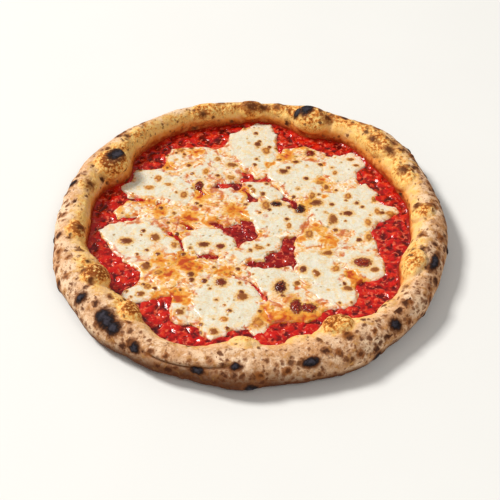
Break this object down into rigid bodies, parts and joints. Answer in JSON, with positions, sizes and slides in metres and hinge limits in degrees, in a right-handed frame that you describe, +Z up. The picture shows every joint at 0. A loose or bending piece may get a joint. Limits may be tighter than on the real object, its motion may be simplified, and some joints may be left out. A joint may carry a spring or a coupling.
{
  "type": "margherita pizza",
  "caption": "Whole round pizza with a puffed, leopard-spotted rim, a bed of crushed tomato sauce and pools of melted mozzarella; it lies flat on a plate or board.",
  "frame": {"origin": "centre of the flat underside, under the middle of the pizza's length and width", "axes": "+Z up out of the toppings; -Y toward the person at the table; +X to that person's right"},
  "size_m": [0.31, 0.3136, 0.0297],
  "materials": {
    "baked_dough": "baked wheat dough, dry and floury outside with small scorched blisters, golden on the slopes that face the toppings",
    "tomato_sauce": "crushed tomato, wet, glossy and lumpy",
    "mozzarella": "melted fresh mozzarella, milky and softly shiny, oily orange at its thin edges, with browned blisters"
  },
  "bodies": {
    "root": {"crust": "baked_dough", "sauce": "tomato_sauce", "mozzarella_01": "mozzarella", "mozzarella_02": "mozzarella", "mozzarella_03": "mozzarella", "mozzarella_04": "mozzarella", "mozzarella_05": "mozzarella", "mozzarella_06": "mozzarella", "mozzarella_07": "mozzarella", "mozzarella_08": "mozzarella", "mozzarella_09": "mozzarella", "mozzarella_10": "mozzarella", "mozzarella_11": "mozzarella", "mozzarella_12": "mozzarella", "mozzarella_13": "mozzarella", "mozzarella_14": "mozzarella", "mozzarella_15": "mozzarella", "mozzarella_16": "mozzarella", "mozzarella_17": "mozzarella", "mozzarella_18": "mozzarella", "mozzarella_19": "mozzarella", "mozzarella_20": "mozzarella", "mozzarella_21": "mozzarella", "mozzarella_22": "mozzarella", "mozzarella_23": "mozzarella", "mozzarella_24": "mozzarella", "mozzarella_25": "mozzarella", "mozzarella_26": "mozzarella"}
  },
  "joints": []
}
